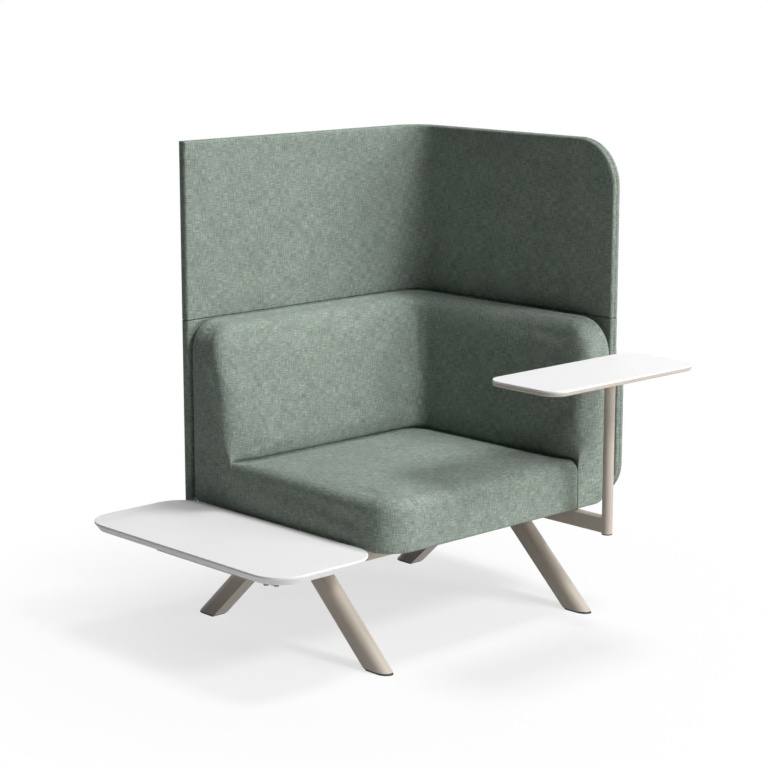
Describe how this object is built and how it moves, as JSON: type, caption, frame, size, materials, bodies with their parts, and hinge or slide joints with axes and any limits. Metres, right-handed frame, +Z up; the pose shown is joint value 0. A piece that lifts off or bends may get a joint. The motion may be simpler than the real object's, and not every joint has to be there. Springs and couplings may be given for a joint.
{
  "type": "privacy booth sofa",
  "caption": "Single-seat booth sofa with a wrap-round back and arm, tall corner privacy screen, splayed tube legs, a low side table and a small table that swivels on a mast.",
  "frame": {"origin": "on the floor, under the middle of the whole part's box", "axes": "+Z up, +Y from the seat's front to its back, +X from the side table towards the arm"},
  "size_m": [1.275, 1.164, 1.3],
  "materials": {
    "upholstery": "sage grey-green melange weave",
    "board": "raw plywood",
    "table_top": "white satin laminate",
    "frame_paint": "taupe satin powder coat",
    "dark_plastic": "black moulded plastic",
    "buffer_rubber": "dark grey rubber",
    "bush_plastic": "dark grey bearing plastic",
    "steel": "zinc plated"
  },
  "bodies": {
    "sofa": {"arm_board": "board", "back_arm_cushion": "upholstery", "back_board": "board", "base_board": "board", "carcass_screws": "steel", "carrier_bolts": "steel", "frame_bolts": "steel", "front_left_glide": "dark_plastic", "front_left_leg": "frame_paint", "front_rail": "frame_paint", "front_right_glide": "dark_plastic", "front_right_leg": "frame_paint", "left_beam": "frame_paint", "leg_bolts": "steel", "lower_bush": "bush_plastic", "lower_screen_core": "board", "lower_screen_cover": "upholstery", "mast": "frame_paint", "mast_plug": "dark_plastic", "rail_end_caps": "dark_plastic", "rear_left_glide": "dark_plastic", "rear_left_leg": "frame_paint", "rear_rail": "frame_paint", "rear_right_glide": "dark_plastic", "rear_right_leg": "frame_paint", "right_beam": "frame_paint", "screen_bolts": "steel", "screen_dowels": "board", "screen_spacers": "dark_plastic", "seat_board": "board", "seat_cushion": "upholstery", "seat_screws": "steel", "seat_spacers": "dark_plastic", "side_table_top": "table_top", "table_buffers": "buffer_rubber", "table_carrier": "frame_paint", "table_screws": "steel", "upper_bush": "bush_plastic", "upper_screen_core": "board", "upper_screen_cover": "upholstery"},
    "swivel_table": {"spindle": "steel", "retaining_ring": "steel", "swivel_tray": "frame_paint", "swivel_table_top": "table_top", "hub_screws": "steel", "tray_screws": "steel"}
  },
  "joints": [
    {"name": "table_swivel", "type": "hinge", "parent": "sofa", "child": "swivel_table", "pos_m": [0.4475, -0.364, 0.733], "axis": [0, 0, 1], "range_deg": [-85, 85]}
  ]
}
